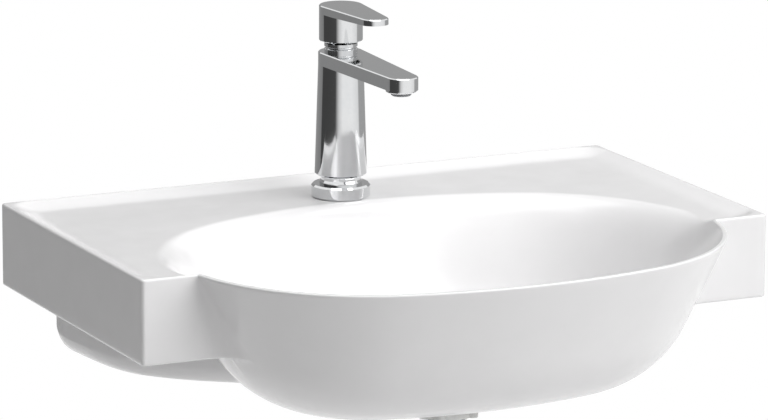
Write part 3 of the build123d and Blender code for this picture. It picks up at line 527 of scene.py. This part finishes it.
def hidden_rows(last):
    """Rows under the shelf: its foot, its inner faces, its ceiling and the bowl's back down to the foot."""
    front = last[:FRONT_COLUMNS]
    levels = np.linspace(SHELF_FOOT, CEILING, UNDER_ROWS)
    rows = []
    for z in levels:
        inner = shelf_contour(SHELL_WALL, SHELL_WALL, BACK_WALL, junction_x(rim_outside(z), SHELL_WALL))
        rows.append(np.vstack([front, row(*inner, z)]))
    wall = []
    for z in levels[::-1]:
        inset = rim_outside(z)
        directions = shelf_directions(junction_direction(inset, SHELL_WALL))
        wall.append(np.vstack([front, row(*oval(directions, inset), z)]))
    ceiling = [rows[-1] + (wall[0] - rows[-1]) * share for share in np.linspace(0, 1, 7)[1:-1]]
    return rows + ceiling + wall


def lower_rows():
    """Rows down the outside below the shelf, on the sweep in equal turns, where the fillet fades out."""
    foot = rim_outside(SHELF_FOOT)
    junction = junction_direction(foot, EDGE_ROUND)
    front = front_directions(junction)
    shelf = shelf_directions(junction_direction(foot, SHELL_WALL))
    directions = np.concatenate([front, shelf])
    first = math.acos((CENTRE_OUTSIDE - foot) / SWEEP_OUTSIDE)
    shift_x, shift_y = fillet((END_RADIUS - foot) * (junction - front), junction, SHELF_FOOT)
    rows = []
    for turn in np.linspace(first, np.pi / 2, FACE_ROWS)[1:]:
        x, y = oval(directions, CENTRE_OUTSIDE - SWEEP_OUTSIDE * math.cos(turn))
        height = TOP - DEPTH_OUTSIDE + SWEEP_OUTSIDE * (1 - math.sin(turn))
        fade = min(max(1 - (SHELF_FOOT - height) / FILLET_FADE, 0.0), 1.0) ** 2
        x[:FRONT_COLUMNS] += shift_x * fade
        y[:FRONT_COLUMNS] += shift_y * fade
        rows.append(row(x, y, height))
    return rows


print("At the shelf's foot the bowl's outside lies", round(float(rim_outside(SHELF_FOOT)), 1),
      "mm inside its rim")

# %% [markdown]
# The half is mirrored as numbers and welded along the middle.
# Between the last front column and the first shelf column the hidden rows would fold a flap inside the
# casting, so those few faces are left out.

# %% Build the casting
def casting():
    """All rows of half the grid, then its mirror image, with the faces of both."""
    floor = TOP - DEPTH_INSIDE
    rows = floor_rows(CENTRE_INSIDE, floor, 8) + inside_rows() + deck_rows() + side_rows()
    fold_start = len(rows) - 1
    rows += hidden_rows(rows[-1])
    fold_end = len(rows) - 1
    rows += lower_rows()
    rows += floor_rows(CENTRE_OUTSIDE, TOP - DEPTH_OUTSIDE, 6)[::-1]
    half = np.array(rows)
    faces = grid_faces(half.shape[0], half.shape[1], wrap_rows=True)
    keep = np.ones(faces.shape[:2], bool)
    keep[fold_start:fold_end, FRONT_COLUMNS - 1] = False
    faces = faces[keep]
    half = half.reshape(-1, 3)
    mirrored = half * [-1, 1, 1]
    return np.vstack([half, mirrored]), np.vstack([faces, faces[:, ::-1] + len(half)])


TAP_Y = -74.0
TAP_HOLE_RADIUS = 17.5
PIPE_GAP_HALF_WIDTH = 90.0
PIPE_GAP_TOP = 35.0
basin = make_piece("glazed_casting", *casting(), "basin", "ceramic")
cut(basin, cutting_rod(TAP_HOLE_RADIUS, (0, TAP_Y, CEILING - 4), (0, TAP_Y, TOP)))
cut(basin, cutting_box((-PIPE_GAP_HALF_WIDTH, -2 * BACK_WALL, 0),
                       (PIPE_GAP_HALF_WIDTH, BACK_WALL, PIPE_GAP_TOP)))
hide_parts("basin_body")

# %% [markdown]
# Under the shelf a skirt leaves the wall on each side and runs in under the bowl.
# Its plan is a curve through four points, and its foot is rounded on the outside.
# It is a strip whose section is carried along that curve, and its top is cut by a formula: it ends 4 mm
# inside whatever is above it, the deck or the bowl, so nothing shows inside the basin.
# Skirt and back plate keep a hair's breadth inside the shelf's back face, so no two faces share a plane.

# %% Skirt
SKIRT_HALF_WIDTH = 248.0
SKIRT_BULGE = 10.0
SKIRT_DEPTH = 246.0
SKIRT_NOSE_SHARE = 0.45
SKIRT_SHOULDER = (0.94, 0.61)
SKIRT_FOOT = -48.0
SKIRT_ROUND = 16.0
SKIRT_WALL = 10.0
ROOTED = 4.0
CLEAR_OF_FACES = 0.2
SKIRT_COLUMNS = 90
SKIRT_START = (0.3, -1.0)
SKIRT_END = (-1.0, -0.45)


def skirt_plan(inset, count):
    """A cubic curve through four points, with unit tangents at its ends and mean tangents between."""
    side = SKIRT_HALF_WIDTH - inset
    points = np.array([(side, 0), (side + SKIRT_BULGE, -SKIRT_DEPTH / 5),
                       (SKIRT_SHOULDER[0] * side, -SKIRT_SHOULDER[1] * SKIRT_DEPTH),
                       (SKIRT_NOSE_SHARE * side, inset - SKIRT_DEPTH)])
    spans = np.linalg.norm(np.diff(points, axis=0), axis=1)
    knots = np.concatenate([[0], np.cumsum(spans)])
    ends = [np.array(v) / np.linalg.norm(v) for v in (SKIRT_START, SKIRT_END)]
    middle = [(points[i + 1] - points[i - 1]) / (knots[i + 1] - knots[i - 1]) for i in (1, 2)]
    tangents = np.array([ends[0], *middle, ends[1]])
    t = np.linspace(0, knots[-1], count)
    i = np.clip(np.searchsorted(knots, t, side="right") - 1, 0, 2)
    h = spans[i]
    s = ((t - knots[i]) / h)[:, None]
    h = h[:, None]
    return ((2 * s**3 - 3 * s**2 + 1) * points[i] + (s**3 - 2 * s**2 + s) * h * tangents[i]
            + (3 * s**2 - 2 * s**3) * points[i + 1] + (s**3 - s**2) * h * tangents[i + 1])


def ceramic_above(x, y):
    """Height at which a point of the skirt is rooted: just inside the deck or the bowl's outside."""
    inset = oval_inset(x, y)
    bowl = np.where(inset > 0, bowl_outside(np.clip(inset, 0, None)), CEILING + ROOTED) + ROOTED
    return np.minimum(bowl, CEILING + ROOTED)


def skirt_strip():
    """Section rows from the inner top down, round the foot and up the outside, along the plan's columns."""
    first = math.asin((SKIRT_ROUND - SKIRT_WALL) / SKIRT_ROUND)
    turns = np.linspace(first, np.pi / 2, 9)
    section = [(SKIRT_WALL, None)]
    section += [(SKIRT_ROUND * (1 - math.sin(turn)), SKIRT_FOOT + SKIRT_ROUND * (1 - math.cos(turn)))
                for turn in turns]
    section += [(0.0, None)]
    rows = []
    for inset, height in section:
        plan = skirt_plan(inset, SKIRT_COLUMNS)
        top = ceramic_above(plan[:, 0], plan[:, 1])
        rows.append(row(plan[:, 0], plan[:, 1], top if height is None else np.minimum(height, top)))
    strip = np.array(rows)
    strip[..., 1] = np.minimum(strip[..., 1], -CLEAR_OF_FACES)
    standing = strip[-1, :, 2] > SKIRT_FOOT + ROOTED
    return strip[:, : int(standing.sum()) + 1]


def closed_strip(strip):
    """Faces of the strip, joined round its section and capped at both ends."""
    rows, columns = strip.shape[:2]
    faces = grid_faces(rows, columns, wrap_rows=True).reshape(-1, 4).tolist()
    faces.append([r * columns for r in range(rows)])
    faces.append([r * columns + columns - 1 for r in range(rows)])
    return strip.reshape(-1, 3), faces


for side, name in ((1, "skirt_right"), (-1, "skirt_left")):
    points, faces = closed_strip(skirt_strip())
    skirt = make_piece(name, points * [side, 1, 1], faces, "basin", "ceramic")
    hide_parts("basin_body")

# %% [markdown]
# The back of the skirt is a flat plate that lies on the wall, with the skirt's own rounding at its foot.
# It has a wide notch for the supply pipes and two holes for the wall bolts, cut as a mould core would.

# %% Back plate
BOLT_PLACE = 140.0
BOLT_HOLE_RADIUS = 7.65
PLATE_INSET = 1.0


def plate_outline():
    """Half width and height along the plate's right edge: a quarter circle at the foot, then straight up."""
    turns = np.linspace(-np.pi / 2, 0, 12)
    half_width = SKIRT_HALF_WIDTH - PLATE_INSET
    x = half_width - SKIRT_ROUND * (1 - np.cos(turns))
    z = SKIRT_FOOT + SKIRT_ROUND * (1 + np.sin(turns))
    return np.append(x, half_width), np.append(z, CEILING + ROOTED)


def plate_solid():
    """The outline and its mirror image as one closed ring, drawn out inside the back wall's thickness."""
    x, z = plate_outline()
    ring_x, ring_z = np.concatenate([x, -x[::-1]]), np.concatenate([z, z[::-1]])
    depths = (2 * CLEAR_OF_FACES - BACK_WALL, -2 * CLEAR_OF_FACES)
    points = np.vstack([np.stack([ring_x, np.full_like(ring_x, y), ring_z], axis=-1) for y in depths])
    return points, ring_faces(len(ring_x), closed=True)


plate = loose_solid(*plate_solid())
plate.name = "back_plate"
gap_side, gap_top = PIPE_GAP_HALF_WIDTH + CLEAR_OF_FACES, PIPE_GAP_TOP + CLEAR_OF_FACES
cut(plate, cutting_box((-gap_side, -2 * BACK_WALL, 2 * SKIRT_FOOT), (gap_side, BACK_WALL, gap_top)))
for side in (-1, 1):
    cut(plate, cutting_rod(BOLT_HOLE_RADIUS, (side * BOLT_PLACE, -2 * BACK_WALL, 0),
                           (side * BOLT_PLACE, BACK_WALL, 0)))
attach(plate, "basin")
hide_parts("basin_body")
print("Back plate has", len(plate.data.polygons), "faces")

# %% [markdown]
# Finishes are made of a few shared effects, each a node group with named inputs.
# Mottle mixes two sizes of noise to a soft mask, for colour that is never quite even. Noise stays near its
# middle value, so the mask is spread from that band to the full range.
# Peel gives the faint waviness of a fired glaze or of plating, as a height for a bump node.
# Every number that is the same all over a piece stays on the shader's own socket.

# %% Shared effects
NOISE_BAND = (0.35, 0.65)
GRAIN_SHARE = 0.1


def new_group(name, inputs, outputs):
    """An empty shader group with float inputs (name, default) and float outputs."""
    group = bpy.data.node_groups.new(name, "ShaderNodeTree")
    for label, default in inputs:
        socket = group.interface.new_socket(label, in_out="INPUT", socket_type="NodeSocketFloat")
        socket.default_value = default
    for label in outputs:
        group.interface.new_socket(label, in_out="OUTPUT", socket_type="NodeSocketFloat")
    return group, group.nodes.new("NodeGroupInput"), group.nodes.new("NodeGroupOutput")


def noise(tree, vector, scale, detail=3.0):
    """A noise texture on a vector, with its scale from a number or a socket."""
    node = tree.nodes.new("ShaderNodeTexNoise")
    node.inputs["Detail"].default_value = detail
    tree.links.new(vector, node.inputs["Vector"])
    if isinstance(scale, (int, float)):
        node.inputs["Scale"].default_value = scale
    else:
        tree.links.new(scale, node.inputs["Scale"])
    return node.outputs["Fac"]


def math_node(tree, operation, a, b):
    """One math node on two numbers or sockets."""
    node = tree.nodes.new("ShaderNodeMath")
    node.operation = operation
    for slot, value in enumerate((a, b)):
        if isinstance(value, (int, float)):
            node.inputs[slot].default_value = value
        else:
            tree.links.new(value, node.inputs[slot])
    return node.outputs[0]


def mottle_group():
    """Mask: the mean of a coarse and a fine noise, spread to the full range."""
    group, ins, outs = new_group("mottle", [("Coarse", 8.0), ("Fine", 60.0)], ["Mask"])
    place = group.nodes.new("ShaderNodeTexCoord").outputs["Object"]
    coarse = noise(group, place, ins.outputs["Coarse"])
    fine = noise(group, place, ins.outputs["Fine"])
    mean = math_node(group, "MULTIPLY", math_node(group, "ADD", coarse, fine), 0.5)
    spread = group.nodes.new("ShaderNodeMapRange")
    spread.inputs["From Min"].default_value, spread.inputs["From Max"].default_value = NOISE_BAND
    group.links.new(mean, spread.inputs["Value"])
    group.links.new(spread.outputs["Result"], outs.inputs["Mask"])
    return group


def peel_group():
    """Height: a slow wave plus a tenth of a fine grain."""
    group, ins, outs = new_group("peel", [("Wave", 40.0), ("Grain", 900.0)], ["Height"])
    place = group.nodes.new("ShaderNodeTexCoord").outputs["Object"]
    wave = noise(group, place, ins.outputs["Wave"], 1.0)
    grain = noise(group, place, ins.outputs["Grain"], 2.0)
    total = math_node(group, "ADD", wave, math_node(group, "MULTIPLY", grain, GRAIN_SHARE))
    group.links.new(total, outs.inputs["Height"])
    return group


MOTTLE = mottle_group()
PEEL = peel_group()
print("Made the groups", MOTTLE.name, "and", PEEL.name)

# %% [markdown]
# One function builds every finish from two tints, a range of roughness and the strength of its peel.
# The two tints stay close together on glaze and plating, and further apart on rubber, zinc and brass.

# %% Finishes
def finish(name, tints, roughness, metallic=0.0, coarse=8.0, fine=60.0, wave=40.0, grain=900.0,
           relief=0.0, coat=0.0, coat_roughness=0.03):
    """A Principled material: mottled colour and roughness, and a bump of the given depth in metres."""
    material = bpy.data.materials.new(name)
    material.use_nodes = True
    tree = material.node_tree
    shader = tree.nodes["Principled BSDF"]
    mottle = tree.nodes.new("ShaderNodeGroup")
    mottle.node_tree = MOTTLE
    mottle.inputs["Coarse"].default_value = coarse
    mottle.inputs["Fine"].default_value = fine
    colour = tree.nodes.new("ShaderNodeMix")
    colour.data_type = "RGBA"
    colour.inputs["A"].default_value = (*tints[0], 1)
    colour.inputs["B"].default_value = (*tints[1], 1)
    tree.links.new(mottle.outputs["Mask"], colour.inputs["Factor"])
    tree.links.new(colour.outputs["Result"], shader.inputs["Base Color"])
    rough = tree.nodes.new("ShaderNodeMapRange")
    rough.inputs["To Min"].default_value = roughness[0]
    rough.inputs["To Max"].default_value = roughness[1]
    tree.links.new(mottle.outputs["Mask"], rough.inputs["Value"])
    tree.links.new(rough.outputs["Result"], shader.inputs["Roughness"])
    peel = tree.nodes.new("ShaderNodeGroup")
    peel.node_tree = PEEL
    peel.inputs["Wave"].default_value = wave
    peel.inputs["Grain"].default_value = grain
    bump = tree.nodes.new("ShaderNodeBump")
    bump.inputs["Distance"].default_value = relief
    tree.links.new(peel.outputs["Height"], bump.inputs["Height"])
    tree.links.new(bump.outputs["Normal"], shader.inputs["Normal"])
    shader.inputs["Metallic"].default_value = metallic
    shader.inputs["Coat Weight"].default_value = coat
    shader.inputs["Coat Roughness"].default_value = coat_roughness
    return material


FINISHES = {
    "ceramic": finish("white_glaze", ((0.815, 0.81, 0.815), (0.835, 0.83, 0.835)), (0.2, 0.27), coarse=5.0,
                      fine=35.0, wave=22.0, grain=500.0, relief=0.00012, coat=0.35, coat_roughness=0.12),
    "chrome": finish("bright_chrome", ((0.74, 0.75, 0.76), (0.78, 0.785, 0.79)), (0.035, 0.075), 1.0,
                     coarse=30.0, fine=240.0, wave=60.0, grain=2500.0, relief=0.00001),
    "zinc_steel": finish("zinc_plate", ((0.5, 0.5, 0.47), (0.66, 0.66, 0.64)), (0.28, 0.45), 1.0,
                         coarse=60.0, fine=400.0, wave=300.0, grain=2500.0, relief=0.00004),
    "steel": finish("stainless", ((0.58, 0.58, 0.58), (0.68, 0.68, 0.68)), (0.2, 0.32), 1.0,
                    coarse=90.0, fine=700.0, wave=400.0, grain=3000.0, relief=0.00003),
    "brass": finish("turned_brass", ((0.62, 0.45, 0.2), (0.76, 0.58, 0.3)), (0.2, 0.36), 1.0,
                    coarse=80.0, fine=500.0, wave=350.0, grain=2500.0, relief=0.00003),
    "black_rubber": finish("black_rubber", ((0.02, 0.02, 0.02), (0.045, 0.045, 0.043)), (0.55, 0.75),
                           coarse=70.0, fine=600.0, wave=500.0, grain=3000.0, relief=0.00006),
    "white_plastic": finish("white_plastic", ((0.72, 0.72, 0.7), (0.78, 0.78, 0.765)), (0.32, 0.46),
                            coarse=40.0, fine=500.0, wave=300.0, grain=2500.0, relief=0.00003),
    "grey_plastic": finish("grey_plastic", ((0.17, 0.175, 0.185), (0.22, 0.225, 0.235)), (0.35, 0.5),
                           coarse=60.0, fine=500.0, wave=400.0, grain=2500.0, relief=0.00003),
}
SLOTS = {part["node"]: part["material_slot"] for part in frame["record"]["subparts"]}

for node, piece in frame["nodes"].items():
    for material_slot in piece.material_slots:
        material_slot.material = FINISHES[SLOTS[node]]
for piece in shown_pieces():
    if not piece.data.materials:
        piece.data.materials.append(FINISHES["ceramic"])
print("Dressed", len(frame["nodes"]), "nodes in", len(FINISHES), "finishes")

# %% [markdown]
# The studio is plain: a pale floor far below, and soft light from the front right and from above.
# From underneath, the floor is clear as glass, so that the basin's underside can be looked at too.
# The world is white where the camera or a reflection sees it, and dimmer where it only lights the object.
# Screens stand all round, out of the picture. Only reflections see them: they give the plating its dark and
# light bands, and their shade changes with the direction.

# %% Studio
FLOOR_Z = -0.765
FLOOR_HALF_SIZE = 12.0
WORLD_LIGHT = 0.27
SCREEN_RADIUS = 2.5
SCREEN_HEIGHTS = (-0.76, 1.2)
SCREEN_SHADES = ((0.0, 0.06), (0.1125, 0.07), (0.16, 0.72), (0.205, 0.98), (0.333, 1.0), (0.428, 0.85),
                 (0.444, 0.42), (0.68, 0.37), (0.894, 0.24), (0.908, 0.06), (1.0, 0.06))


def seen_white(tree, shade, kind):
    """Mixes plain white over a shader for camera, glossy and transmission rays."""
    path = tree.nodes.new("ShaderNodeLightPath")
    seen = math_node(tree, "MAXIMUM", path.outputs["Is Camera Ray"], path.outputs["Is Glossy Ray"])
    seen = math_node(tree, "MAXIMUM", seen, path.outputs["Is Transmission Ray"])
    white = tree.nodes.new(kind)
    white.inputs["Color"].default_value = (1, 1, 1, 1)
    white.inputs["Strength"].default_value = 1.0
    mix = tree.nodes.new("ShaderNodeMixShader")
    tree.links.new(seen, mix.inputs["Fac"])
    tree.links.new(shade, mix.inputs[1])
    tree.links.new(white.outputs[0], mix.inputs[2])
    return mix.outputs[0]


world = bpy.data.worlds.new("studio")
bpy.context.scene.world = world
world.use_nodes = True
tree = world.node_tree
tree.nodes["Background"].inputs["Color"].default_value = (1, 1, 1, 1)
tree.nodes["Background"].inputs["Strength"].default_value = WORLD_LIGHT
whitened = seen_white(tree, tree.nodes["Background"].outputs[0], "ShaderNodeBackground")
tree.links.new(whitened, tree.nodes["World Output"].inputs["Surface"])


def flat_sheet(name, corners, material):
    """One flat face of the studio, not part of the basin."""
    mesh = bpy.data.meshes.new(name)
    mesh.from_pydata([tuple(corner) for corner in corners], [], [(0, 1, 2, 3)])
    mesh.materials.append(material)
    sheet = bpy.data.objects.new(name, mesh)
    bpy.context.scene.collection.objects.link(sheet)
    return sheet


pale = bpy.data.materials.new("pale_floor")
pale.use_nodes = True
tree = pale.node_tree
tree.nodes["Principled BSDF"].inputs["Base Color"].default_value = (0.72, 0.72, 0.72, 1)
tree.nodes["Principled BSDF"].inputs["Roughness"].default_value = 0.8
whitened = seen_white(tree, tree.nodes["Principled BSDF"].outputs[0], "ShaderNodeEmission")
one_sided = tree.nodes.new("ShaderNodeMixShader")
tree.links.new(tree.nodes.new("ShaderNodeNewGeometry").outputs["Backfacing"], one_sided.inputs["Fac"])
tree.links.new(whitened, one_sided.inputs[1])
tree.links.new(tree.nodes.new("ShaderNodeBsdfTransparent").outputs[0], one_sided.inputs[2])
tree.links.new(one_sided.outputs[0], tree.nodes["Material Output"].inputs["Surface"])
SQUARE = ((-1, -1), (1, -1), (1, 1), (-1, 1))
flat_sheet("floor", [(x * FLOOR_HALF_SIZE, y * FLOOR_HALF_SIZE, FLOOR_Z) for x, y in SQUARE], pale)


def screen_shade():
    """Emission whose strength follows the direction: (angle round Z + pi) / (2 pi), looked up in a ramp."""
    material = bpy.data.materials.new("screens")
    material.use_nodes = True
    tree = material.node_tree
    split = tree.nodes.new("ShaderNodeSeparateXYZ")
    tree.links.new(tree.nodes.new("ShaderNodeTexCoord").outputs["Object"], split.inputs[0])
    angle = math_node(tree, "ARCTAN2", split.outputs["Y"], split.outputs["X"])
    share = math_node(tree, "DIVIDE", math_node(tree, "ADD", angle, math.pi), 2 * math.pi)
    ramp = tree.nodes.new("ShaderNodeValToRGB")
    elements = ramp.color_ramp.elements
    for place, shade in SCREEN_SHADES[1:-1]:
        elements.new(place).color = (shade, shade, shade, 1)
    for end in (0, -1):
        elements[end].color = (*[SCREEN_SHADES[end][1]] * 3, 1)
    tree.links.new(share, ramp.inputs["Fac"])
    glow = tree.nodes.new("ShaderNodeEmission")
    tree.links.new(ramp.outputs["Color"], glow.inputs["Color"])
    tree.links.new(glow.outputs[0], tree.nodes["Material Output"].inputs["Surface"])
    return material


def screens(sides=96):
    """A round wall of screens about the basin that only reflections see."""
    turn = np.arange(sides) * 2 * np.pi / sides
    x, y = SCREEN_RADIUS * np.cos(turn), SCREEN_RADIUS * np.sin(turn)
    rings = [np.stack([x, y, np.full(sides, z)], axis=-1) for z in SCREEN_HEIGHTS]
    mesh = bpy.data.meshes.new("screens")
    mesh.from_pydata(np.vstack(rings).tolist(), [], ring_faces(sides))
    mesh.materials.append(screen_shade())
    wall = bpy.data.objects.new("screens", mesh)
    bpy.context.scene.collection.objects.link(wall)
    wall.visible_camera = wall.visible_diffuse = wall.visible_transmission = wall.visible_shadow = False
    return wall


def soft_light(name, place, target, size, power):
    """A square area lamp that faces a target."""
    data = bpy.data.lights.new(name, "AREA")
    data.shape = "SQUARE"
    data.size = size
    data.energy = power
    lamp = bpy.data.objects.new(name, data)
    lamp.location = place
    away = np.array(place) - np.array(target)
    lamp.rotation_mode = "QUATERNION"
    lamp.rotation_quaternion = Vector(away).to_track_quat("Z", "Y")
    bpy.context.scene.collection.objects.link(lamp)
    return lamp


MIDDLE = (0.0, -0.24, 0.05)
KEY_PLACE, KEY_SIZE, KEY_POWER = (2.2, -2.9, 2.1), 3.4, 128.0
OVERHEAD_PLACE, OVERHEAD_SIZE, OVERHEAD_POWER = (0.1, -0.3, 3.4), 3.0, 72.0
screens()
soft_light("key", KEY_PLACE, MIDDLE, KEY_SIZE, KEY_POWER)
soft_light("overhead", OVERHEAD_PLACE, MIDDLE, OVERHEAD_SIZE, OVERHEAD_POWER)
print("Studio lit by two large soft lamps and the world")

# %% [markdown]
# Last, the colours are left as they are rendered, without a film look.

# %% Finish
bpy.context.scene.view_settings.view_transform = "Standard"
